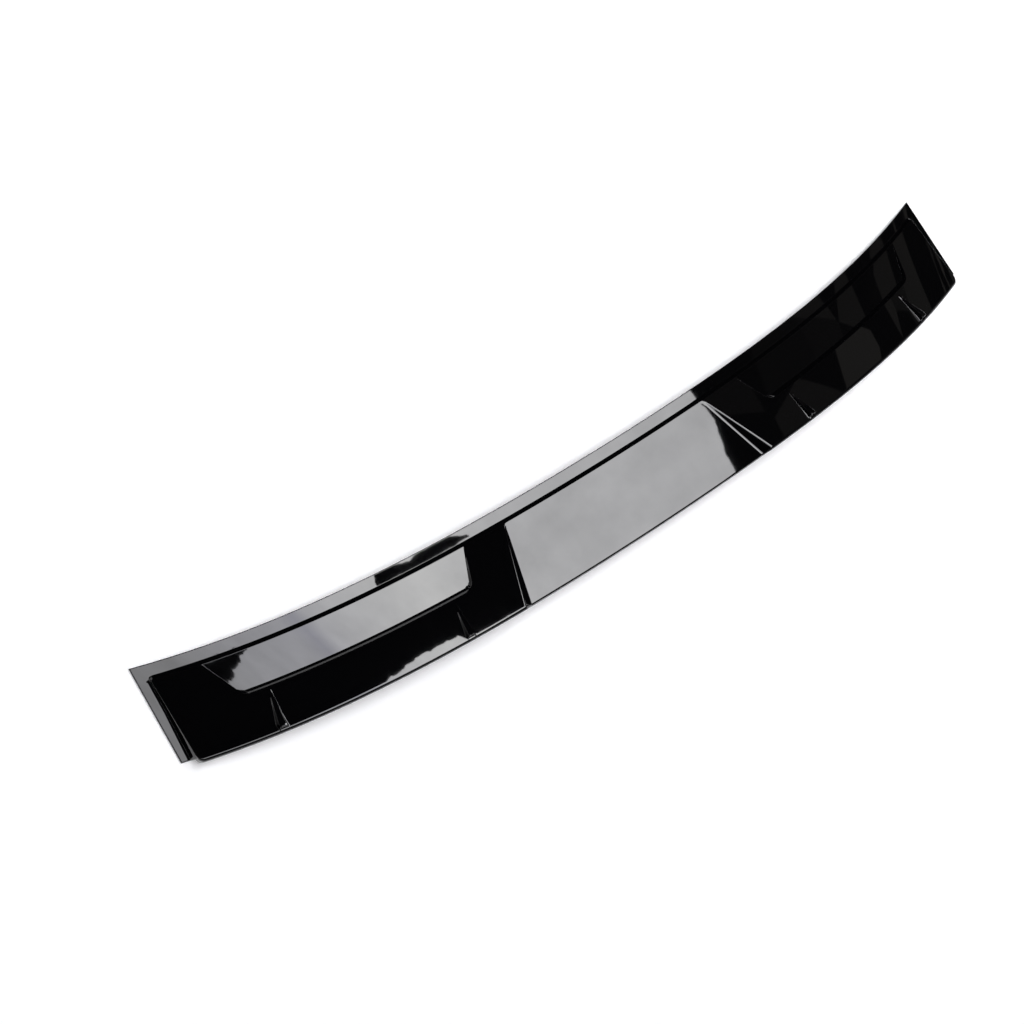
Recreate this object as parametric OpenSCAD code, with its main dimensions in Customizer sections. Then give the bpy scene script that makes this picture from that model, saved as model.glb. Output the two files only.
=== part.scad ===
// Roof spoiler for the top of a tailgate: one moulded shell, bonded on by its flange.
// X runs across the car, +Y points to the front of the car, +Z is up. The middle plane is x = 0,
// the plan is centred on the origin, and the shell rests on its two ends at z = 0.
//
// The skin is a grid. Every edge that the eye follows on the real piece, such as the step behind
// the flange, the walls of the middle panel and the sides of the windows, is a line of the grid,
// so the edges stay crisp whatever the sizes are.

/* [Plan] */
// Width across the two front corners
width = 1200; // [1000:10:1400]
// How far each rear corner stands out past the front corner
end_flare = 5; // [0:1:12]
// Chord at the middle, front edge to trailing edge
chord = 117.5; // [113:0.5:150]
// Distance that the front edge sweeps forward from the middle to a corner
front_sweep = 63.5; // [30:0.5:90]
// Distance that the trailing edge sweeps forward from the middle to a corner
rear_sweep = 56.5; // [30:0.5:80]
// Share of both sweeps that comes in towards the ends
tip_share = 0.42; // [0:0.02:0.8]

/* [Crown] */
// Height of the middle above the ends, at the front edge
crown = 26; // [10:1:50]
// How late the crown falls away: 2 is an even arch, 4 stays flat and drops near the ends
crown_power = 4; // [2:0.5:5]
// Rise of the middle from the front edge to the trailing edge
tail_rise = 12.5; // [0:0.5:16]

/* [Wall] */
// Thickness of the raised skin
wall = 3; // [2:0.25:3.5]
// Thickness of the flange
flange_t = 3; // [2:0.25:3.5]

/* [Flange] */
// Width of the flange along the front edge
front_flange = 14.5; // [10:0.5:20]
// Width of the end flange at its front
end_flange_front = 11.5; // [8:0.5:18]
// Width of the end flange at its rear
end_flange_rear = 9.5; // [7:0.5:16]
// How far the end flange stops short of the trailing edge
end_setback = 7; // [2:0.5:10]
// Height of the step from the flange up to the skin
step_h = 3; // [2:0.25:5]
// Plan width of the sloped step behind the front flange
step_run = 4.5; // [3:0.25:7]
// Plan width of the end step at its front and at its rear
end_step_run = [1, 5]; // [1:0.5:8]
// Radius in plan of the step's foot where the front flange meets an end flange
step_corner = 6; // [2:0.5:9]

/* [Middle panel] */
// Half width of the panel at the front step
mid_front = 154; // [120:1:180]
// Half width of the panel at the trailing edge
mid_rear = 183; // [150:1:200]
// Plan width of the wall up to the wing, at the trailing edge
mid_wall_run = 11; // [6:0.5:16]

/* [Wings] */
// Height that a wing gains over the middle panel at the trailing edge
kick = 9.5; // [4:0.5:12]
// How late the wing kicks up: 1 is a straight ramp
kick_power = 1; // [1:0.1:2]

/* [Windows] */
// Distance of the inner side from the middle plane, at the front and at the rear
win_inner = [211, 232]; // [205:1:245]
// Distance of the outer side from the front corner, at the front and at the rear
win_gap = [65, 83]; // [60:1:90]
// Distance of the rear side from the front edge of the spoiler
win_back = 67; // [50:0.5:72]
// Plan width of the slope along the rear side
win_slope = 5; // [2:0.5:7]
// Plan width of the slope along the inner and the outer side, at the rear
win_side_run = [2.5, 4.5]; // [1:0.5:5]
// Radius in plan of the two rear corners
win_corner = 5; // [2:0.5:5]

/* [Trailing edge] */
// Lean of the rear face under a wing, plan distance from top to bottom
wing_lean = 1; // [0.5:0.5:5]
// Lean of the rear face under the middle panel
mid_lean = 1; // [0.5:0.5:4]
// Size of the rounding along the top of the rear face under a wing
wing_round = 4; // [1:0.25:5]
// Size of the rounding along the top of the rear face under the middle panel
mid_round = 2.5; // [1:0.25:4]
// Radius in plan of the corner where the trailing edge meets an end
tail_corner = 6; // [3:0.5:10]

/* [Fins] */
// Distance between a fin's rear end and the rear corner of the window: inner fin, outer fin
fin_inset = [35, 19]; // [14:0.5:50]
// How far each fin's tip lies inboard of its rear end
fin_toe = [7, 10]; // [0:0.5:12]
// Length of a fin
fin_len = 40; // [20:1:44]
// Width of a fin at its rear
fin_w = 11.5; // [8:0.5:14]
// Height of a fin at its rear
fin_h = 6; // [3:0.5:9]
// How late a fin rises: 1 is a straight wedge
fin_power = 1.5; // [1:0.1:3]
// Width of the sloped side of a fin at its rear
fin_side = 2; // [1:0.25:3]

/* [Hidden] */

half = width / 2;
depth = chord + front_sweep;
step_back = front_flange + step_run;
win_outer = [half - win_gap[0], half - win_gap[1]];
fin_at = [win_inner[1] + fin_inset[0], win_outer[1] - fin_inset[1]];
// Wall of the end flange in plan: bottom and top, at the front and at the rear
end_foot = [half - end_flange_front, half + end_flare - end_flange_rear];
end_top = end_foot - end_step_run;
// Each fin starts with a blunt tip this wide and ends this far in front of the rear rounding
fin_tip = 2.4;
fin_end = 2;
// The walls of the middle panel and of the window start this thin at the front step
thin = 1;
// The flange has its own small rounding and lean at its rear end
flange_round = 1;
flange_lean = 0.5;

function clamp01(t) = max(0, min(1, t));
function lerp(a, b, t) = a + (b - a) * t;
// Value on a list of stops at place v, straight between the stops
function at(stops, v) =
    let (k = min(floor(v), len(stops) - 2))
    lerp(stops[k], stops[k + 1], v - k);

// Plan: both edges follow one sweep curve, flat in the middle and closing in at the ends
function sweep(x) =
    let (s2 = pow(x / half, 2))
    (1 - tip_share) * s2 + tip_share * s2 * s2;
function y_front(x) = depth / 2 - front_sweep * (1 - sweep(x));
function chord_at(x) = chord + (front_sweep - rear_sweep) * sweep(x);

// Bonding surface under the flange, at x and at the distance c behind the front edge.
// It is crowned like the roof, and zero along both end edges.
function end_x(c) = half + end_flare * c / chord;
function bond_z(x, c) =
    let (s = abs(x) / end_x(c))
    (crown + tail_rise * c / chord) * (1 - pow(s, crown_power));

// Lines across the skin, from the middle plane outwards. Each is a straight line in plan from
// x = a at the distance ca behind the front edge to x = b at the distance cb.
fin_tip_c = chord - wing_lean - wing_round - fin_end - fin_len;
fin_rear_c = fin_tip_c + fin_len;
function fin_line(n, tip, rear) =
    [fin_at[n] - fin_toe[n] + tip, fin_tip_c, fin_at[n] + rear, fin_rear_c];
LINES = [
    [0, 0, 0, chord],
    [mid_front, step_back, mid_rear, chord],
    [mid_front + thin, step_back, mid_rear + mid_wall_run, chord],
    [win_inner[0], step_back, win_inner[1], win_back],
    [win_inner[0] + thin, step_back, win_inner[1] + win_side_run[0], win_back],
    fin_line(0, -fin_tip / 2, -fin_w / 2),
    fin_line(0, -fin_tip / 4, -fin_w / 2 + fin_side),
    fin_line(0, fin_tip / 4, fin_w / 2 - fin_side),
    fin_line(0, fin_tip / 2, fin_w / 2),
    fin_line(1, -fin_tip / 2, -fin_w / 2),
    fin_line(1, -fin_tip / 4, -fin_w / 2 + fin_side),
    fin_line(1, fin_tip / 4, fin_w / 2 - fin_side),
    fin_line(1, fin_tip / 2, fin_w / 2),
    [win_outer[0] - thin, step_back, win_outer[1] - win_side_run[1], win_back],
    [win_outer[0], step_back, win_outer[1], win_back],
    [end_top[0] - tail_corner, step_back, end_top[1] - tail_corner, chord],
    [end_top[0], step_back, end_top[1], chord],
    [end_foot[0], step_back, end_foot[1], chord],
    [half, 0, half + end_flare, chord]
];
MID_EDGE = 1;
WIN_IN = 3;
FIN_A = 5;
FIN_B = 9;
WIN_OUT = 13;
CORNER = 15;
END_TOP = 16;
END_FOOT = 17;
// Cells from each line to the next
LINE_CELLS = [9, 1, 3, 1, 1, 1, 1, 1, 12, 1, 1, 1, 1, 1, 3, 3, 1, 1];

// Rows down the chord: 0 front edge, 1 and 2 front step, 3 end of its round corners, 4 and 5 rear
// side of the windows, 6 rear ends of the fins, 7 to 10 rounding of the trailing edge, 11 its
// bottom edge
ROW_CELLS = [1, 3, 3, 5, 4, 7, 1, 1, 1, 1, 1];

// Places along the lines or rows: whole numbers are lines, fractions lie between them
function places(cells) = [
    for (k = [0:len(cells) - 1], n = [0:cells[k] - 1]) k + n / cells[k],
    len(cells)
];
ROWS = places(ROW_CELLS);
HALF_COLS = places(LINE_CELLS);
COLS = [
    for (i = [len(HALF_COLS) - 1:-1:1]) -HALF_COLS[i],
    for (u = HALF_COLS) u
];

// Round corners in plan: at the share t of the radius towards the corner, a quarter circle comes
// in by this share of the radius. The lines move in by it, and the floor of a window a little less
// than its rim, so that the two never meet.
function round_in(t) = 1 - sqrt(1 - pow(clamp01(t), 2));
floor_corner = [for (run = win_side_run) max(0, win_corner + thin / 2 - run)];
top_corner = step_corner - thin / 2;
function line_shift(k, c) =
    let (win = round_in(1 - (win_back - c) / win_corner))
    k == WIN_IN ? win_corner * win
    : k == WIN_IN + 1 ? floor_corner[0] * win
    : k == WIN_OUT ? -floor_corner[1] * win
    : k == WIN_OUT + 1 ? -win_corner * win
    : k == CORNER || k == END_TOP ? -top_corner * round_in(1 - (c - step_back) / top_corner)
    : k == END_FOOT ? -step_corner * round_in(1 - (c - front_flange) / step_corner)
    : 0;
function line_x(k, c) =
    let (l = LINES[k])
    lerp(l[0], l[2], clamp01((c - l[1]) / (l[3] - l[1]))) + line_shift(k, c);
function col_x(u, c) =
    let (k = min(floor(u), len(LINES) - 2), f = k == CORNER ? sin(90 * (u - k)) : u - k)
    lerp(line_x(k, c), line_x(k + 1, c), f);

// How far a column belongs to the wing, a window, a fin or the end flange: 0 to 1
function on_wing(u) = clamp01(u - MID_EDGE);
function on_window(u) = clamp01(u - WIN_IN) * clamp01(WIN_OUT + 1 - u);
function on_fin(u) =
    clamp01(u - FIN_A) * clamp01(FIN_A + 3 - u) + clamp01(u - FIN_B) * clamp01(FIN_B + 3 - u);
function on_flange(u) = clamp01(u - END_TOP);

// Distance behind the front edge of each row of a column. The corner is a quarter circle.
function trim(u) = tail_corner * (1 - cos(90 * clamp01(u - CORNER)));
function col_end(u) = chord_at(col_x(u, chord)) - lerp(trim(u), end_setback, on_flange(u));
function col_lean(u) = lerp(lerp(mid_lean, wing_lean, on_wing(u)), flange_lean, on_flange(u));
function col_round(u) = lerp(lerp(mid_round, wing_round, on_wing(u)), flange_round, on_flange(u));
function row_stops(u) =
    let (e = col_end(u), l = col_lean(u), r = col_round(u))
    [0, front_flange, step_back, step_back + top_corner, win_back - win_slope, win_back,
        e - l - r - fin_end, e - l - r, e - l - 0.5 * r, e - l - 0.13 * r, e - l, e];
// Rows lie closer where a round corner turns across them
function eased(v) =
    let (k = floor(v), f = v - k)
    k + (k == 1 || k == 2 ? 1 - cos(90 * f) : k == 4 ? sin(90 * f) : f);
function row_c(u, v) = at(row_stops(u), eased(v));

// Height of the skin over the bonding surface, without and with the fins
function kick_z(c) =
    kick * pow(max(0, (c - step_back) / (chord - wing_lean - step_back)), kick_power);
function skin_h(u, v) =
    let (
        c = row_c(u, v),
        raised = clamp01((c - front_flange) / step_run) * (1 - on_flange(u)),
        sunk = on_window(u) * clamp01((win_back - c) / win_slope)
    )
    flange_t + raised * (step_h + kick_z(c) * on_wing(u) * (1 - sunk));
function fin_z(u, v) =
    fin_h * on_fin(u) * clamp01(7 - v)
        * pow(clamp01((row_c(u, v) - fin_tip_c) / fin_len), fin_power);

// Height of the rounded trailing edge, from the skin down to the bottom edge
function tail_h(u, v) =
    let (h = skin_h(u, 7), r = col_round(u))
    at([h, h - 0.13 * r, h - 0.5 * r, h - r, 0], v - 7);
function top_h(u, v) = v <= 7 ? skin_h(u, v) + fin_z(u, v) : tail_h(u, v);

// Underside: the same grid one wall lower, moved so that sloped walls keep their thickness
function under_shift(u) =
    u >= MID_EDGE && u <= MID_EDGE + 1 ? 0.4 * wall
    : u > CORNER && u <= END_TOP + 1 ? -0.8 * wall * sin(90 * clamp01(u - CORNER))
    : 0;
function under_c(u, v) =
    let (e = col_end(u), l = col_lean(u), w = e - l - wall)
    v >= 7 ? at([w - 1.5, w - 0.5, w, w + l / 2, w + l], v - 7)
    : v >= 6 ? lerp(row_c(u, 6) - wall, w - 1.5, v - 6)
    : v > 5 ? lerp(win_back, row_c(u, 6) - wall, v - 5)
    : row_c(u, v) + (v < 1 ? 0 : 0.5 * wall * clamp01(3 - v));
function under_h(u, v) =
    let (full = skin_h(u, 7) - wall, land = v <= 1 || on_flange(u) >= 1)
    land ? 0
    : v <= 7 ? skin_h(u, v) - wall
    : at([full, full - 0.5, full - 1.5, (full - 1.5) / 2, 0], v - 7);

function point(side, x, c, h) = [side * x, y_front(x) - c, bond_z(x, c) + h];
function top_point(u, v) =
    let (a = abs(u), c = row_c(a, v))
    point(sign(u), col_x(a, c), c, top_h(a, v));
function under_point(u, v) =
    let (a = abs(u), c = under_c(a, v))
    point(sign(u), col_x(a, row_c(a, v)) + under_shift(a), c, under_h(a, v));

module shell() {
    nc = len(COLS);
    nr = len(ROWS);
    skin = [for (u = COLS, v = ROWS) top_point(u, v)];
    under = [for (u = COLS, v = ROWS) under_point(u, v)];
    base = nc * nr;

    // One cell as two triangles, split so that the two halves of the spoiler mirror each other
    function cell(a, b, c, d, flip) = flip ? [[a, b, d], [b, c, d]] : [[a, b, c], [a, c, d]];
    function turned(tris) = [for (t = tris) [t[2], t[1], t[0]]];
    cells = [
        for (i = [0:nc - 2], j = [0:nr - 2])
            let (a = i * nr + j)
            cell(a, a + 1, a + nr + 1, a + nr, COLS[i] < 0)
    ];
    skin_faces = [for (q = cells, t = q) t];
    under_faces = [for (q = cells) each turned([for (t = q) t + [base, base, base]])];
    // Strips that close the shell along the front, the rear and both ends
    front_faces = [
        for (i = [0:nc - 2])
            let (a = i * nr)
            each cell(a, a + nr, a + nr + base, a + base, false)
    ];
    rear_faces = [
        for (i = [0:nc - 2])
            let (a = i * nr + nr - 1)
            each turned(cell(a, a + nr, a + nr + base, a + base, false))
    ];
    end_faces = [
        for (j = [0:nr - 2])
            let (a = j, b = (nc - 1) * nr + j)
            each concat(
                turned(cell(a, a + 1, a + 1 + base, a + base, false)),
                cell(b, b + 1, b + 1 + base, b + base, false)
            )
    ];
    polyhedron(
        points = concat(skin, under),
        faces = concat(skin_faces, under_faces, front_faces, rear_faces, end_faces),
        convexity = 6
    );
}

module spoiler() {
    color("#16171a") shell();
}

spoiler();
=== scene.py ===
"""Roof spoiler in gloss black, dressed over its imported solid.

The spoiler is one moulding. Its visible skin is worked out here again from the sizes of the CAD,
on a finer grid, with the fillets and round corners that the moulding has.
Lengths in the shape functions are in millimetres; the mesh is written in metres.
"""

import math

import bpy
import numpy as np
from mathutils import Matrix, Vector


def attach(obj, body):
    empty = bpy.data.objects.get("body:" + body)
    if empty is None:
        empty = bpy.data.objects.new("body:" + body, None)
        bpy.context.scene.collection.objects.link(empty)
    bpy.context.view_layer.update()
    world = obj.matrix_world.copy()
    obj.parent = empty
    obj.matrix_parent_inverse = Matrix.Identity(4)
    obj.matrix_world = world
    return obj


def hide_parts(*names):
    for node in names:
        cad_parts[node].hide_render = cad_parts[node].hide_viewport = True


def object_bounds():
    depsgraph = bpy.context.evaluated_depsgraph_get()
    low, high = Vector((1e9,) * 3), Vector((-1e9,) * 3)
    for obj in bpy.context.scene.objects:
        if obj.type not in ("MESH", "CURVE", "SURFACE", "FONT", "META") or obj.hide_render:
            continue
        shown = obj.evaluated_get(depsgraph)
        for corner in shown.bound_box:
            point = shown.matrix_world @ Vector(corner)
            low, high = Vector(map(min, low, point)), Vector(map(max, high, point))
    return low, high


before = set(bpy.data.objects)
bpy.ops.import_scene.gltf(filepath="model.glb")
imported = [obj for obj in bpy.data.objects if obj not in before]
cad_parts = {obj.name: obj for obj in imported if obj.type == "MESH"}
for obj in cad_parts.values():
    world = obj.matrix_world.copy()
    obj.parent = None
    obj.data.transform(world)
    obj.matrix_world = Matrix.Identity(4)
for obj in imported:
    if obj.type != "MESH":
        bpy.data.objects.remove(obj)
cad_low, cad_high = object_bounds()

# ---------------------------------------------------------------- camera

CAMERA_PLACE = (-0.89713, 0.03984, 1.85357)
CAMERA_RIGHT = (0.78409, -0.52343, 0.33350)
CAMERA_UP = (0.48696, 0.85199, 0.19231)
CAMERA_BACK = (-0.38480, 0.01161, 0.92293)
LENS_MM = 59.77


def place_camera():
    """The photograph's view: from above, in front of the middle and well to the left."""
    data = bpy.data.cameras.new("camera")
    data.sensor_width = 36.0
    data.lens = LENS_MM
    camera = bpy.data.objects.new("camera", data)
    bpy.context.scene.collection.objects.link(camera)
    turn = Matrix((CAMERA_RIGHT, CAMERA_UP, CAMERA_BACK)).transposed().to_4x4()
    camera.matrix_world = Matrix.Translation(CAMERA_PLACE) @ turn
    bpy.context.scene.camera = camera


place_camera()

# ---------------------------------------------------------------- sizes, as in the CAD

HALF_WIDTH = 600.0
END_FLARE = 5.0
CHORD = 117.5
FRONT_SWEEP = 63.5
REAR_SWEEP = 56.5
TIP_SHARE = 0.42
CROWN = 26.0
TAIL_RISE = 12.5
WALL = 3.0
FLANGE_T = 3.0
FRONT_FLANGE = 14.5
END_SETBACK = 7.0
STEP_H = 3.0
STEP_RUN = 4.5
KICK = 9.5
WIN_BACK = 67.0
WIN_SLOPE = 5.0
WING_LEAN = 1.0
MID_LEAN = 1.0
WING_ROUND = 4.0
MID_ROUND = 2.5
FLANGE_ROUND = 1.0
FLANGE_LEAN = 0.5
TAIL_CORNER = 6.0
FIN_AT = (267.0, 498.0)
FIN_TOE = (7.0, 10.0)
FIN_LEN = 40.0
FIN_W = 11.5
FIN_H = 6.0
FIN_POWER = 1.5
FIN_SIDE = 2.0
FIN_TIP = 2.4
FIN_END = 2.0

STEP_BACK = FRONT_FLANGE + STEP_RUN
WIN_FLOOR_BACK = WIN_BACK - WIN_SLOPE
FIN_TIP_C = CHORD - WING_LEAN - WING_ROUND - FIN_END - FIN_LEN
FIN_REAR_C = FIN_TIP_C + FIN_LEN

# Lines across the skin, outwards from the middle plane: x at the first depth behind the front
# edge, that depth, x at the second depth, that depth. WIN_OUT_TOP starts 0.5 further in than
# in the CAD.
MID_FOOT = (154.0, STEP_BACK, 183.0, CHORD)
MID_TOP = (155.0, STEP_BACK, 194.0, CHORD)
WIN_IN_TOP = (211.0, STEP_BACK, 232.0, WIN_BACK)
WIN_IN_FLOOR = (212.0, STEP_BACK, 234.5, WIN_BACK)
WIN_OUT_FLOOR = (534.0, STEP_BACK, 512.5, WIN_BACK)
WIN_OUT_TOP = (534.5, STEP_BACK, 517.0, WIN_BACK)
END_TOP = (587.5, STEP_BACK, 590.5, CHORD)
END_FOOT = (588.5, STEP_BACK, 595.5, CHORD)
END_EDGE = (600.0, 0.0, 605.0, CHORD)

# Fillets and round corners. The CAD has only two of them: the flange's corner, and the
# windows', with a radius of 5. A fin's fillet grows by the second number from its tip to its
# rear end.
STEP_FILLET = 0.4
MID_FILLET = 0.9
WIN_FILLET = 0.15
FIN_FILLET = (0.06, 0.5)
KICK_BLEND = 1.0
EDGE_ROUND = 0.8
FLANGE_CORNER = 6.0
MID_CORNER = 7.0
WINDOW_CORNER = 9.0
FIN_CORNER = 1.6

# Cells of the grid. A fillet lies between two lines on either side of its edge, at the distance
# NEAR or at its own size, and a narrow guard cell outside it ends at the distance GUARD. Without
# that cell the smooth normals carry the fillet's tilt into the wide cell beside it, which then
# shows a bright line. EDGE_NEAR is the first row's and the last column's distance from the
# flange's edge, and FIN_MARGIN the outermost line's from a fin. The last two are the numbers of
# cells round the trailing edge and down the face under it.
EDGE_NEAR = 1.2
STEP_GUARD = 0.7
WIN_NEAR = 0.17
WIN_GUARD = 0.32
FIN_NEAR = 0.12
FIN_GUARD = 0.25
FIN_RIDGE_NEAR = 0.1
FIN_MARGIN = 1.2
ARC_CELLS = 12
FACE_CELLS = 3


def moved(line, shift):
    """The same line, moved outwards by shift at both of its ends."""
    return (line[0] + shift, line[1], line[2] + shift, line[3])


def fin_line(n, tip, rear):
    """Line along fin n, at the offset tip from its middle at the tip and rear at its rear end."""
    return (FIN_AT[n] - FIN_TOE[n] + tip, FIN_TIP_C, FIN_AT[n] + rear, FIN_REAR_C)


def fin_lines(n, cells_after):
    """The lines and cell counts across fin n: foot, side, back, side, foot, with narrow cells
    at each edge and a margin on both sides. The cells after the last line are given."""
    at_foot = (FIN_MARGIN, FIN_GUARD, FIN_NEAR, -FIN_NEAR)
    foot = [(FIN_TIP / 2 + d, FIN_W / 2 + d) for d in at_foot]
    at_ridge = (FIN_RIDGE_NEAR, -FIN_RIDGE_NEAR)
    ridge = [(FIN_TIP / 4 + d, FIN_W / 2 - FIN_SIDE + d) for d in at_ridge]
    inner = [(fin_line(n, -tip, -rear), cells)
             for (tip, rear), cells in zip(foot + ridge, (2, 1, 2, 4, 2, 5))]
    outer = [(fin_line(n, tip, rear), cells)
             for (tip, rear), cells in zip((foot + ridge)[::-1], (2, 4, 2, 1, 2, cells_after))]
    return inner + outer


def column_lines():
    """Lines from the middle plane to the end, each with the number of cells up to the next."""
    return [
        ((0.0, 0.0, 0.0, CHORD), 22),
        (moved(MID_FOOT, -8), 8),
        (MID_FOOT, 12),
        (MID_TOP, 5),
        (moved(MID_TOP, 4), 4),
        (moved(WIN_IN_TOP, -2.5), 4),
        (moved(WIN_IN_TOP, -WIN_GUARD), 1),
        (moved(WIN_IN_TOP, -WIN_NEAR), 3),
        (moved(WIN_IN_TOP, WIN_NEAR), 6),
        (moved(WIN_IN_FLOOR, -WIN_NEAR), 3),
        (moved(WIN_IN_FLOOR, WIN_NEAR), 1),
        (moved(WIN_IN_FLOOR, WIN_GUARD), 10),
        (moved(WIN_IN_FLOOR, 7), 3),
        *fin_lines(0, 36),
        *fin_lines(1, 3),
        (moved(WIN_OUT_FLOOR, -5), 7),
        (moved(WIN_OUT_FLOOR, -WIN_GUARD), 1),
        (moved(WIN_OUT_FLOOR, -WIN_NEAR), 3),
        (moved(WIN_OUT_FLOOR, WIN_FILLET), 6),
        (moved(WIN_OUT_TOP, -WIN_FILLET), 3),
        (moved(WIN_OUT_TOP, WIN_NEAR), 1),
        (moved(WIN_OUT_TOP, WIN_GUARD), 5),
        (moved(WIN_OUT_TOP, 2.5), 12),
        (moved(END_TOP, -TAIL_CORNER - 2), 3),
        (moved(END_TOP, -TAIL_CORNER), 12),
        (END_TOP, 9),
        (END_FOOT, 5),
        (moved(END_EDGE, -EDGE_NEAR), 4),
        (END_EDGE, 0),
    ]


# ---------------------------------------------------------------- shape functions


def line_at(line, c):
    """x of a line at the depth c: straight between its two ends and level beyond them."""
    x0, c0, x1, c1 = line
    return x0 + (x1 - x0) * np.clip((c - c0) / (c1 - c0), 0, 1)


def end_edge(c):
    """x of the end's edge at the depth c, straight on beyond both of its ends."""
    return HALF_WIDTH + END_FLARE * c / CHORD


def sweep(x):
    """Share of the sweep at x: part goes with the square of x over the half width, part with
    its fourth power."""
    s2 = (x / HALF_WIDTH) ** 2
    return (1 - TIP_SHARE) * s2 + TIP_SHARE * s2 * s2


def front_edge(x):
    """y of the front edge at x."""
    return (CHORD + FRONT_SWEEP) / 2 - FRONT_SWEEP * (1 - sweep(x))


def chord_at(x):
    """Depth of the trailing edge behind the front edge at x."""
    return CHORD + (FRONT_SWEEP - REAR_SWEEP) * sweep(x)


def bonding_surface(x, c):
    """Height of the tailgate's surface: the crown and its rise to the rear, times one less the
    fourth power of x over the end's x."""
    s = np.minimum(np.abs(x) / end_edge(c), 1)
    return (CROWN + TAIL_RISE * c / CHORD) * (1 - s**4)


def filleted_ramp(d, run, fillet):
    """0 to 1 over the distance run, averaged over plus and minus fillet, which rounds its foot
    and its top. The average is a difference of the ramp's area: t squared over twice the run
    on the ramp, and t less half the run past it."""

    def area(t):
        on_ramp = np.clip(t, 0, run)
        return on_ramp**2 / (2 * run) + np.maximum(t - run, 0)

    return (area(d + fillet) - area(d - fillet)) / (2 * fillet)


def inside_corner(a, b, radius):
    """Distance inside a corner of two sides, a and b being the distances inside each: the
    nearer side, or near the corner the distance inside its round."""
    ra, rb = np.maximum(radius - a, 0), np.maximum(radius - b, 0)
    near = (a < radius) & (b < radius)
    return np.where(near, radius - np.hypot(ra, rb), np.minimum(a, b))


def corner_share(a, b, radius):
    """0 where side a rules the corner, 1 where side b does, and the angle's share between."""
    ra, rb = np.maximum(radius - a, 0), np.maximum(radius - b, 0)
    return np.where((ra > 0) | (rb > 0), np.arctan2(rb, ra) / (np.pi / 2), 0.0)


def kick(c):
    """Height that a wing gains over the middle panel: a straight rise behind the step, with a
    blended start."""
    rise = KICK / (CHORD - WING_LEAN - STEP_BACK)
    d = c - STEP_BACK
    start = (d + KICK_BLEND) ** 2 / (4 * KICK_BLEND)
    return rise * np.where(np.abs(d) < KICK_BLEND, start, np.maximum(d, 0))


def on_wing(x, c):
    """0 on the middle panel, 1 on a wing, with the filleted wall between them. The panel's
    front corners are round."""
    foot = line_at(MID_FOOT, c)
    inside = inside_corner(foot - x, c - STEP_BACK, MID_CORNER)
    return filleted_ramp(-inside, line_at(MID_TOP, c) - foot, MID_FILLET)


def in_window(x, c):
    """0 on the wing, 1 on the floor of a window, with filleted sides and round rear corners."""
    inner, outer = line_at(WIN_IN_TOP, c), line_at(WIN_OUT_TOP, c)
    side = np.minimum(x - inner, outer - x)
    back = WIN_BACK - c
    side_run = np.where(
        x - inner < outer - x, line_at(WIN_IN_FLOOR, c) - inner, outer - line_at(WIN_OUT_FLOOR, c)
    )
    share = corner_share(side, back, WINDOW_CORNER)
    run = np.where(side < back, side_run + (WIN_SLOPE - side_run) * share, WIN_SLOPE)
    return filleted_ramp(inside_corner(side, back, WINDOW_CORNER), run, WIN_FILLET)


def skin(x, c):
    """Height of the skin over the bonding surface, without the fins: the flange, then a
    filleted step round the raised part, which is the panel's step, and on the wings the kick
    as well, except in the windows."""
    from_front = c - FRONT_FLANGE
    foot, top = line_at(END_FOOT, c), line_at(END_TOP, c)
    from_end = foot - x
    d = inside_corner(from_front, from_end, FLANGE_CORNER)
    share = corner_share(from_front, from_end, FLANGE_CORNER)
    run = STEP_RUN + (foot - top - STEP_RUN) * share
    raised = STEP_H + kick(c) * on_wing(x, c) * (1 - in_window(x, c))
    return FLANGE_T + filleted_ramp(d, run, np.minimum(STEP_FILLET, run / 2)) * raised


def fins(x, c):
    """Height of the four fins: a wedge that widens evenly and rises later and later to its
    rear end, with a short rear face and sides whose fillets grow with the fifth power of the
    share of its length."""
    t = np.clip((c - FIN_TIP_C) / FIN_LEN, 0, 1)
    half = (FIN_TIP + (FIN_W - FIN_TIP) * t) / 2
    side_run = FIN_TIP / 4 + (FIN_SIDE - FIN_TIP / 4) * t
    behind = chord_at(x) - WING_LEAN - WING_ROUND - c
    height = np.zeros_like(x)
    for at, toe in zip(FIN_AT, FIN_TOE):
        side = half - np.abs(x - (at - toe * (1 - t)))
        share = corner_share(side, behind, FIN_CORNER)
        run = side_run + (FIN_END - side_run) * share
        d = inside_corner(side, behind, FIN_CORNER)
        fillet = np.minimum(FIN_FILLET[0] + FIN_FILLET[1] * t**5, run / 2)
        height += FIN_H * t**FIN_POWER * filleted_ramp(d, run, fillet)
    return height


def edge_drop(x, c):
    """Drop of the flange's top near its outer edges: a quarter round."""
    d = np.clip(inside_corner(c, end_edge(c) - x, EDGE_NEAR), 0, EDGE_ROUND)
    return EDGE_ROUND - np.sqrt(EDGE_ROUND**2 - (EDGE_ROUND - d) ** 2)


def underside(x, c):
    """Height of the inner face: the lowest skin within a wall's reach outwards and forwards,
    less the wall, and nothing under the flange."""
    outwards, forwards = 0.8 * WALL, 0.5 * WALL
    near = np.minimum(skin(x, c), np.minimum(skin(x + outwards, c), skin(x, c - forwards)))
    return np.maximum(near - WALL, 0)


# ---------------------------------------------------------------- the moulding's grid


def places(counts):
    """Running places: whole numbers at the lines, with counts[k] cells from line k to the
    next. The last count is 0."""
    parts = [k + np.arange(n) / n for k, n in enumerate(counts[:-1])]
    return np.concatenate([*parts, [len(counts) - 1.0]])


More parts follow.
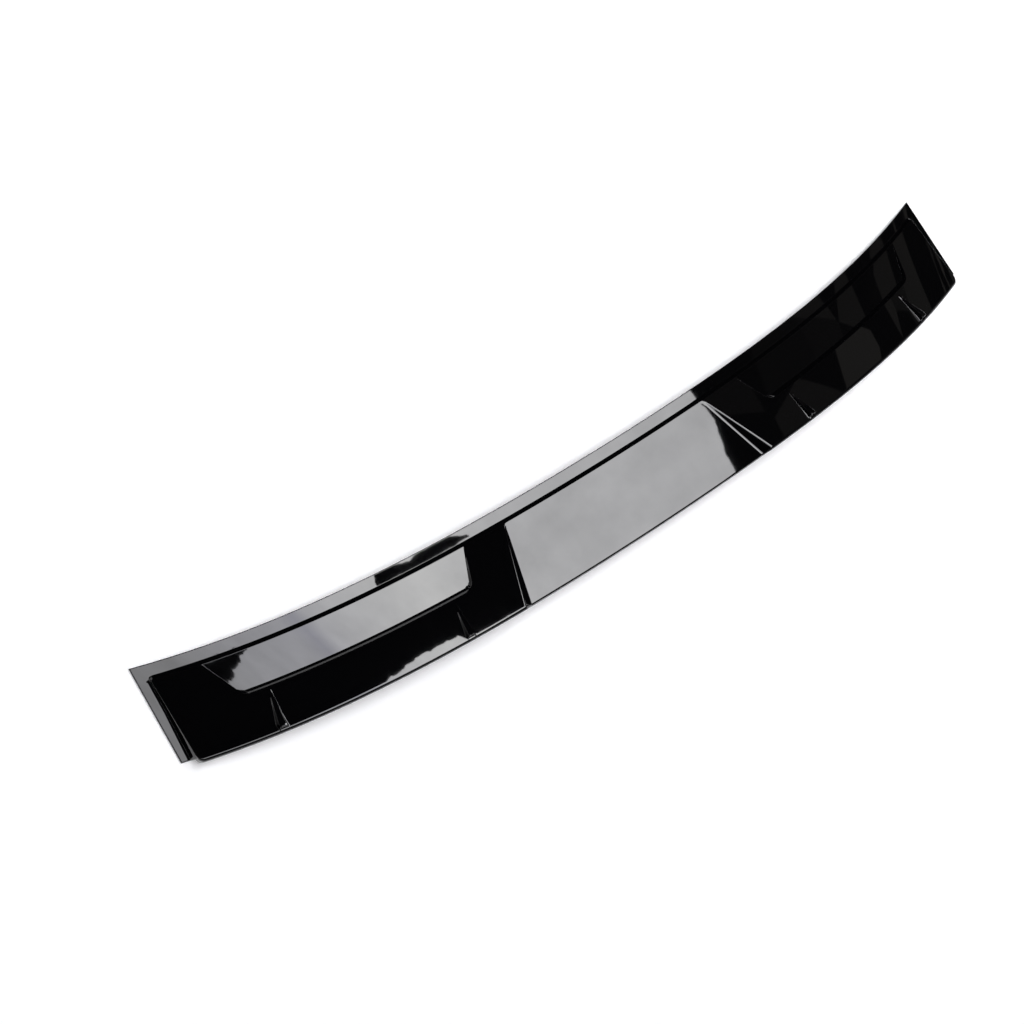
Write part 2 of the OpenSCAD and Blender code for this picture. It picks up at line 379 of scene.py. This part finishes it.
def row_depths(rows, column_count):
    """Depths of all rows in each column. The argument rows holds pairs of a depth, one for all
    columns or an array with one for each, and the number of cells to the next."""
    stops = np.stack([np.broadcast_to(depth, column_count) for depth, _ in rows], 1)
    v = places([n for _, n in rows])
    k = np.minimum(v.astype(int), stops.shape[1] - 2)
    return stops[:, k] + (stops[:, k + 1] - stops[:, k]) * (v - k)


LINES = column_lines()
CORNER = next(k for k, (line, _) in enumerate(LINES) if line == moved(END_TOP, -TAIL_CORNER))


def column_x(u, c):
    """x of the columns u at the depths c: between two lines, by a sine at the tail corner so
    that its quarter circle is evenly divided."""
    table = np.array([line for line, _ in LINES])
    k = np.minimum(u.astype(int), len(LINES) - 2)
    f = u - k
    f = np.where(k == CORNER, np.sin(np.pi / 2 * f), f)[:, None]

    def at(i):
        return line_at([table[i, n][:, None] for n in range(4)], c)

    return at(k) * (1 - f) + at(k + 1) * f


def trailing_edge(u):
    """For each column: its share of wing and of flange, and the depth of the rear face's foot,
    the face's lean and the radius of the rounding over it."""
    at_rear = column_x(u, np.full((len(u), 1), CHORD))[:, 0]
    turn = np.clip(u - CORNER, 0, 1)
    trim = TAIL_CORNER * (1 - np.cos(np.pi / 2 * turn))
    flange = np.clip(u - CORNER - 1, 0, 1)
    wing = np.clip(on_wing(at_rear, np.full_like(at_rear, CHORD)), 0, 1)
    end = chord_at(at_rear) - (trim + (END_SETBACK - trim) * flange)
    lean = MID_LEAN + (WING_LEAN - MID_LEAN) * wing
    lean = lean + (FLANGE_LEAN - lean) * flange
    rounding = MID_ROUND + (WING_ROUND - MID_ROUND) * wing
    rounding = rounding + (FLANGE_ROUND - rounding) * flange
    return wing, flange, end, lean, rounding


def outer_rows(u, tail):
    """x, depth and height of the columns u over the skin, down to the depths tail."""
    c = row_depths([
        (0.0, 4),
        (EDGE_NEAR, 4),
        (FRONT_FLANGE - STEP_GUARD, 1),
        (FRONT_FLANGE - STEP_FILLET, 4),
        (FRONT_FLANGE + STEP_FILLET, 6),
        (STEP_BACK - STEP_FILLET, 4),
        (STEP_BACK + STEP_FILLET, 1),
        (STEP_BACK + STEP_GUARD, 5),
        (STEP_BACK + 4, 11),
        (WIN_FLOOR_BACK - 8, 12),
        (WIN_FLOOR_BACK - WIN_GUARD, 1),
        (WIN_FLOOR_BACK - WIN_NEAR, 3),
        (WIN_FLOOR_BACK + WIN_NEAR, 6),
        (WIN_BACK - WIN_NEAR, 3),
        (WIN_BACK + WIN_NEAR, 1),
        (WIN_BACK + WIN_GUARD, 4),
        (WIN_BACK + 3, 13),
        (tail - 5, 5),
        (tail - 2, 6),
        (tail, 0),
    ], len(u))
    x = column_x(u, c)
    return x, c, skin(x, c) + fins(x, c) - edge_drop(x, c)


def rear_rows(top, tail, wing, flange, end, lean, rounding):
    """Depth and height round the trailing edge: an arc that starts along the skin and ends
    along the leaning rear face, then the face itself."""
    slope = np.arctan(wing * KICK / (CHORD - WING_LEAN - STEP_BACK)) * (1 - flange)
    face = np.arctan(lean / (top - rounding))
    turn = np.linspace(0, 1, ARC_CELLS + 1)[1:]
    angle = slope[:, None] + (face - np.pi / 2 - slope)[:, None] * turn
    r = rounding[:, None]
    arc_c = tail[:, None] + r * (np.sin(slope)[:, None] - np.sin(angle))
    arc_h = top[:, None] - r * (np.cos(slope)[:, None] - np.cos(angle))
    down = np.linspace(0, 1, FACE_CELLS + 1)[1:]
    face_c = arc_c[:, -1:] + (end[:, None] - arc_c[:, -1:]) * down
    face_h = arc_h[:, -1:] * (1 - down)
    return np.hstack([arc_c, face_c]), np.hstack([arc_h, face_h])


def inner_rows(u, end, lean):
    """Depth and height up the inside of the rear wall, and x, depth and height of the columns
    u from there forwards along the inner face."""
    inner = end - lean - WALL
    c = row_depths([
        (0.0, 1),
        (FRONT_FLANGE - 1, 2),
        (FRONT_FLANGE + 1.2, 6),
        (STEP_BACK + 3, 4),
        (WIN_FLOOR_BACK - 8, 6),
        (WIN_FLOOR_BACK, 4),
        (WIN_BACK + 1, 5),
        (inner - 1.2, 0),
    ], len(u))
    x = column_x(u, c)
    h = underside(x, c)
    wall_c = np.stack([end - WALL, end - WALL - lean / 2, inner], 1)
    wall_h = np.maximum(h[:, -1:] - [[0, 0, 1.0]], 0) * [[0, 0.5, 1]]
    return wall_c, wall_h, x[:, ::-1], c[:, ::-1], h[:, ::-1]


def half_profiles():
    """Closed profiles from the middle plane to the end, as arrays of x, depth and height over
    the bonding surface. Each runs over the skin to the trailing edge, round it, and back
    along the inner face."""
    u = places([n for _, n in LINES])
    wing, flange, end, lean, rounding = trailing_edge(u)
    tail = end - lean - rounding
    x, c, h = outer_rows(u, tail)
    rear_c, rear_h = rear_rows(h[:, -1], tail, wing, flange, end, lean, rounding)
    wall_c, wall_h, under_x, under_c, under_h = inner_rows(u, end, lean)
    rear_x = np.repeat(x[:, -1:], rear_c.shape[1] + wall_c.shape[1], 1)
    return (
        np.hstack([x, rear_x, under_x]),
        np.hstack([c, rear_c, wall_c, under_c]),
        np.hstack([h, rear_h, wall_h, under_h]),
    )


def build_moulding():
    """Both halves of the profiles as one closed grid, with a flat face at each end."""
    x, c, h = half_profiles()
    y = front_edge(x) - c
    z = bonding_surface(x, c) + h
    right = np.stack([x, y, z], 2)
    left = right[:0:-1] * [-1, 1, 1]
    grid = np.concatenate([left, right]) * 0.001
    columns, rows = grid.shape[:2]
    i = np.arange(columns - 1)[:, None] * rows
    j = np.arange(rows)[None, :]
    k = (j + 1) % rows
    quads = np.stack([i + j, i + k, i + rows + k, i + rows + j], 2).reshape(-1, 4)
    ends = [list(range(rows - 1, -1, -1)), list(range((columns - 1) * rows, columns * rows))]
    mesh = bpy.data.meshes.new("spoiler_moulding")
    mesh.from_pydata(grid.reshape(-1, 3).tolist(), [], quads.tolist() + ends)
    mesh.shade_smooth()
    mesh.set_sharp_from_angle(angle=0.75)
    mesh.update()
    piece = bpy.data.objects.new("spoiler_moulding", mesh)
    bpy.context.scene.collection.objects.link(piece)
    return piece


# ---------------------------------------------------------------- materials


def linear(hex_colour):
    """An sRGB hex colour as a linear RGBA tuple."""
    parts = [int(hex_colour[n:n + 2], 16) / 255 for n in (1, 3, 5)]
    return (*[p / 12.92 if p <= 0.04045 else ((p + 0.055) / 1.055) ** 2.4 for p in parts], 1.0)


def sky(level, blue):
    """A linear grey of the given level, with its blue multiplied by blue."""
    return (level, level, level * blue, 1.0)


def add(tree, kind, links=(), settings=None, **values):
    """Adds a node: values go to its properties, settings to its input sockets, and links are
    (output socket, name or number of this node's input)."""
    node = tree.nodes.new(kind)
    for name, value in values.items():
        setattr(node, name, value)
    for name, value in (settings or {}).items():
        node.inputs[name].default_value = value
    for source, name in links:
        tree.links.new(source, node.inputs[name])
    return node


def noise(tree, place, scale, detail, roughness):
    """The 0 to 1 output of a noise texture at the place, with scale cells to the metre."""
    return add(tree, "ShaderNodeTexNoise", [(place, "Vector")],
               {"Scale": scale, "Detail": detail, "Roughness": roughness}).outputs["Fac"]


def mapped(tree, value, before, after):
    """The value carried from the range before to the range after."""
    return add(tree, "ShaderNodeMapRange", [(value, "Value")],
               {"From Min": before[0], "From Max": before[1],
                "To Min": after[0], "To Max": after[1]}).outputs["Result"]


def maths(tree, operation, *terms):
    """The result of one operation on its terms, each an output socket or a number."""
    links = [(term, n) for n, term in enumerate(terms) if not isinstance(term, float)]
    numbers = {n: term for n, term in enumerate(terms) if isinstance(term, float)}
    return add(tree, "ShaderNodeMath", links, numbers, operation=operation).outputs[0]


def new_material(name):
    """A node material, its empty tree, and the object coordinates for its textures."""
    material = bpy.data.materials.new(name)
    material.use_nodes = True
    tree = material.node_tree
    tree.nodes.clear()
    return material, tree, add(tree, "ShaderNodeTexCoord").outputs["Object"]


def gloss_black_abs():
    """Black ABS, injection moulded and finished in gloss black lacquer: deep black that shows
    what it reflects almost sharply. The lacquer's skin waves by 3 micrometres over 20 to 40 mm,
    and its finest grain of about 1.5 mm is drawn at 3 mm so that it shows."""
    material, tree, place = new_material("gloss_black_abs")
    wave = noise(tree, place, 34.0, 2.0, 0.45)
    peel = noise(tree, place, 330.0, 1.0, 0.5)
    haze = noise(tree, place, 9.0, 4.0, 0.6)
    rough = mapped(tree, haze, (0.3, 0.75), (0.01, 0.022))
    waves = add(tree, "ShaderNodeBump", [(wave, "Height")],
                {"Strength": 1.0, "Distance": 0.000003})
    grain = add(tree, "ShaderNodeBump", [(peel, "Height"), (waves.outputs["Normal"], "Normal")],
                {"Strength": 1.0, "Distance": 0.0000001})
    shader = add(tree, "ShaderNodeBsdfPrincipled",
                 [(rough, "Roughness"), (grain.outputs["Normal"], "Normal")],
                 {"Base Color": linear("#040405"), "IOR": 1.5})
    add(tree, "ShaderNodeOutputMaterial", [(shader.outputs["BSDF"], "Surface")])
    return material


def seen_directly(tree):
    """1 for camera, glossy and transmission rays and 0 for the rays that carry light."""
    path = add(tree, "ShaderNodeLightPath").outputs
    seen = maths(tree, "MAXIMUM", path["Is Camera Ray"], path["Is Glossy Ray"])
    return maths(tree, "MAXIMUM", seen, path["Is Transmission Ray"])


def pale_floor():
    """White studio paper. What is seen of it is lifted to an even white: by 0.15 in the middle
    and more and more outwards, as the scrim's light falls off with the square of h2 / (h2 + d2),
    of its height squared and the distance squared. It still keeps the spoiler's shadow."""
    material, tree, place = new_material("pale_floor")
    distance2 = add(tree, "ShaderNodeVectorMath", [(place, 0), (place, 1)],
                    operation="DOT_PRODUCT").outputs["Value"]
    near = maths(tree, "DIVIDE", SCRIM_Z**2, maths(tree, "ADD", distance2, SCRIM_Z**2))
    lift = mapped(tree, maths(tree, "MULTIPLY", near, near), (0.0, 1.0), (1.0, 0.15))
    paper = add(tree, "ShaderNodeBsdfDiffuse", settings={"Color": linear("#f2f2f2")})
    glow = add(tree, "ShaderNodeEmission",
               [(maths(tree, "MULTIPLY", lift, seen_directly(tree)), "Strength")],
               {"Color": (1, 1, 1, 1)})
    both = add(tree, "ShaderNodeAddShader", [(paper.outputs[0], 0), (glow.outputs[0], 1)])
    add(tree, "ShaderNodeOutputMaterial", [(both.outputs[0], "Surface")])
    return material


def bright_scrim():
    """A lit ceiling cloth of soft daylight. It fades towards the left, as the photograph's sky
    does, and its light is uneven by a tenth, like thin cloud."""
    material, tree, place = new_material("bright_scrim")
    split = add(tree, "ShaderNodeSeparateXYZ", [(place, "Vector")])
    along = mapped(tree, split.outputs["X"], (-2.0, 2.0), (0.0, 1.0))
    fade = add(tree, "ShaderNodeValToRGB", [(along, "Fac")])
    ramp = fade.color_ramp
    ramp.elements[0].position, ramp.elements[1].position = 0.3, 1.0
    ramp.elements[0].color, ramp.elements[1].color = sky(0.37, 1.03), sky(0.74, 1.02)
    for position, level, blue in ((0.4, 0.52, 1.06), (0.49, 0.57, 1.07), (0.512, 0.48, 1.13),
                                  (0.532, 0.7, 1.05), (0.56, 0.78, 1.03), (0.67, 0.98, 1.0),
                                  (0.76, 0.8, 1.02)):
        ramp.elements.new(position).color = sky(level, blue)
    uneven = mapped(tree, noise(tree, place, 5.0, 6.0, 0.62), (0.3, 0.7), (10.8, 13.4))
    glow = add(tree, "ShaderNodeEmission", [(fade.outputs["Color"], "Color"), (uneven, "Strength")])
    add(tree, "ShaderNodeOutputMaterial", [(glow.outputs[0], "Surface")])
    return material


def black_cloth():
    """Black felt, for what is dark over and round the spoiler."""
    material, tree, place = new_material("black_cloth")
    tone = add(tree, "ShaderNodeMix", [(noise(tree, place, 6.0, 3.0, 0.5), "Factor")],
               data_type="RGBA")
    tone.inputs["A"].default_value = linear("#020202")
    tone.inputs["B"].default_value = linear("#0a0a0a")
    felt = add(tree, "ShaderNodeBsdfDiffuse", [(tone.outputs["Result"], "Color")])
    add(tree, "ShaderNodeOutputMaterial", [(felt.outputs[0], "Surface")])
    return material


def dim_hall():
    """The unlit end of the hall behind the scrim: large patches of faint light, a third of a
    metre wide."""
    material, tree, place = new_material("dim_hall")
    patches = add(tree, "ShaderNodeTexVoronoi", [(place, "Vector")],
                  {"Scale": 2.6, "Randomness": 1.0})
    shade = add(tree, "ShaderNodeSeparateXYZ", [(patches.outputs["Color"], "Vector")])
    level = mapped(tree, shade.outputs["X"], (0.45, 1.0), (0.01, 0.2))
    glow = add(tree, "ShaderNodeEmission", [(level, "Strength")], {"Color": linear("#fffaf2")})
    add(tree, "ShaderNodeOutputMaterial", [(glow.outputs[0], "Surface")])
    return material


# ---------------------------------------------------------------- studio

# Heights over the floor in metres: the dark cards hang just under the scrim, and what closes
# the room hangs over it. Then half the floor's side, and its gap under the spoiler.
SCRIM_Z = 3.0
CARD_Z = 2.99
HALL_Z = 3.2
CEILING_Z = 3.25
FLOOR_HALF = 6.0
FLOOR_GAP = 0.0002

# Step along a torn edge and the height of each of its waves, in metres
TEAR_STEP = 0.015
TEAR = 0.0014

# Outlines in plan of the lit scrim and of two dark cards under it, in metres. What the
# photograph's spoiler mirrors was traced back along its rays to a plane 3 m over the floor.
SCRIM = [
    (-1.75, -0.8), (0.7, -0.8), (1.0, 0.0), (1.77, 0.0), (1.78, 0.1), (1.835, 0.34),
    (1.85, 0.42), (1.895, 0.52), (1.885, 0.6), (1.88, 0.93), (1.03, 0.931), (0.95, 0.933),
    (0.8, 0.931), (0.79, 0.945), (0.775, 0.925), (0.745, 0.93), (0.725, 0.95), (0.6, 0.945),
    (0.5, 0.933), (0.4, 0.913), (0.3, 0.893), (0.24, 0.875), (0.1, 0.83), (-0.5, 0.57),
    (-1.1, 0.33), (-1.75, 0.13),
]
FRONT_CARD = [
    (0.5, 0.584), (0.505, 0.6), (0.53, 0.626), (0.56, 0.63), (0.61, 0.633), (0.66, 0.63),
    (0.69, 0.627), (0.71, 0.634), (0.76, 0.639), (0.81, 0.643), (0.86, 0.643), (0.9, 0.639),
    (0.93, 0.629), (0.95, 0.616), (0.85, 0.606), (0.75, 0.601), (0.65, 0.595), (0.56, 0.588),
]
LEFT_CARD = [
    (-0.78, 0.311), (-0.78, 0.24), (-0.665, 0.275), (-0.63, 0.3), (-0.565, 0.325), (-0.53, 0.345),
    (-0.49, 0.365), (-0.43, 0.385), (-0.41, 0.398), (-0.36, 0.415), (-0.32, 0.43),
    (-0.32, 0.439), (-0.4, 0.421), (-0.5, 0.393), (-0.6, 0.365), (-0.66, 0.348), (-0.72, 0.329),
]

# The hall's dim end, which the right wing mirrors, and the dark ceiling over everything
HALL = [(2.1, -1.5), (7.0, -1.5), (7.0, 3.5), (2.1, 3.5)]
CEILING = [(-8.0, -8.0), (8.0, -8.0), (8.0, 8.0), (-8.0, 8.0)]


def staged(name, corners, material):
    """A staged object of one flat face."""
    mesh = bpy.data.meshes.new(name)
    mesh.from_pydata(corners, [], [list(range(len(corners)))])
    mesh.materials.append(material)
    thing = bpy.data.objects.new(name, mesh)
    bpy.context.scene.collection.objects.link(thing)
    return thing


def lay_floor():
    """A flat square, just under the spoiler's lowest edge."""
    z, far = cad_low.z - FLOOR_GAP, FLOOR_HALF
    staged("floor", [(-far, -far, z), (far, -far, z), (far, far, z), (-far, far, z)],
           pale_floor())


def hang_sheet(name, outline, z, material):
    """A flat sheet over the floor at the height z, in metres, that faces down. The camera
    doesn't see it, but what is glossy mirrors it."""
    corners = ragged(outline)
    if signed_area(corners) > 0:
        corners = corners[::-1]
    sheet = staged(name, [(x, y, z) for x, y in corners], material)
    sheet.visible_camera = False
    return sheet


def stand_flag(name, start, end, height, material):
    """A dark screen on the floor between two places in plan, in metres, that only glossy
    things see: what the forward slopes and the steep walls mirror is dark, as in the
    photograph."""
    (x0, y0), (x1, y1) = start, end
    seen_by_gloss_only(staged(
        name, [(x0, y0, 0), (x1, y1, 0), (x1, y1, height), (x0, y0, height)], material))


def seen_by_gloss_only(thing):
    """The camera doesn't see the thing, and it neither takes nor gives light."""
    thing.visible_camera = thing.visible_diffuse = thing.visible_shadow = False


def ragged(outline):
    """The outline in small steps, each point moved by a few millimetres: a torn edge, made of
    four waves along the outline."""
    points = []
    for (x0, y0), (x1, y1) in zip(outline, outline[1:] + outline[:1]):
        steps = max(1, round(math.hypot(x1 - x0, y1 - y0) / TEAR_STEP))
        for n in range(steps):
            points.append((x0 + (x1 - x0) * n / steps, y0 + (y1 - y0) * n / steps))
    points = np.array(points)
    along = np.arange(len(points))
    shift = sum(np.sin(along * w + w * w) for w in (0.37, 0.83, 1.51, 2.63))
    points[:, 1] += TEAR * shift
    points[:, 0] += TEAR * np.roll(shift, 5)
    return points


def signed_area(points):
    """Area inside an outline, positive where it runs anticlockwise."""
    after = np.roll(points, -1, 0)
    return float((points[:, 0] * after[:, 1] - points[:, 1] * after[:, 0]).sum() / 2)


def light_room():
    """A white room where it is seen, which gives a hundredth of that as light."""
    world = bpy.data.worlds.new("room")
    bpy.context.scene.world = world
    world.use_nodes = True
    tree = world.node_tree
    level = mapped(tree, seen_directly(tree), (0.0, 1.0), (0.01, 1.0))
    background = tree.nodes["Background"]
    background.inputs["Color"].default_value = (1, 1, 1, 1)
    tree.links.new(level, background.inputs["Strength"])


# ---------------------------------------------------------------- assembly

moulding = build_moulding()
abs_finish = gloss_black_abs()
moulding.data.materials.append(abs_finish)
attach(moulding, "root")
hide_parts("spoiler")
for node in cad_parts.values():
    node.data.materials.clear()
    node.data.materials.append(abs_finish)

lay_floor()
felt = black_cloth()
hang_sheet("sky_scrim", SCRIM, SCRIM_Z, bright_scrim())
seen_by_gloss_only(hang_sheet("dim_ceiling", HALL, HALL_Z, dim_hall()))
seen_by_gloss_only(hang_sheet("dark_ceiling", CEILING, CEILING_Z, felt))
stand_flag("front_flag", (3.0, 1.2), (-0.6, 1.2), 1.6, felt)
stand_flag("right_flag", (3.6, -1.2), (3.6, 1.3), 1.5, felt)
stand_flag("left_flag", (-3.2, 1.0), (-3.2, -0.8), 2.4, felt)
hang_sheet("dark_card_front", FRONT_CARD, CARD_Z, felt)
hang_sheet("dark_card_left", LEFT_CARD, CARD_Z, felt)
light_room()

bpy.context.scene.view_settings.view_transform = "Standard"
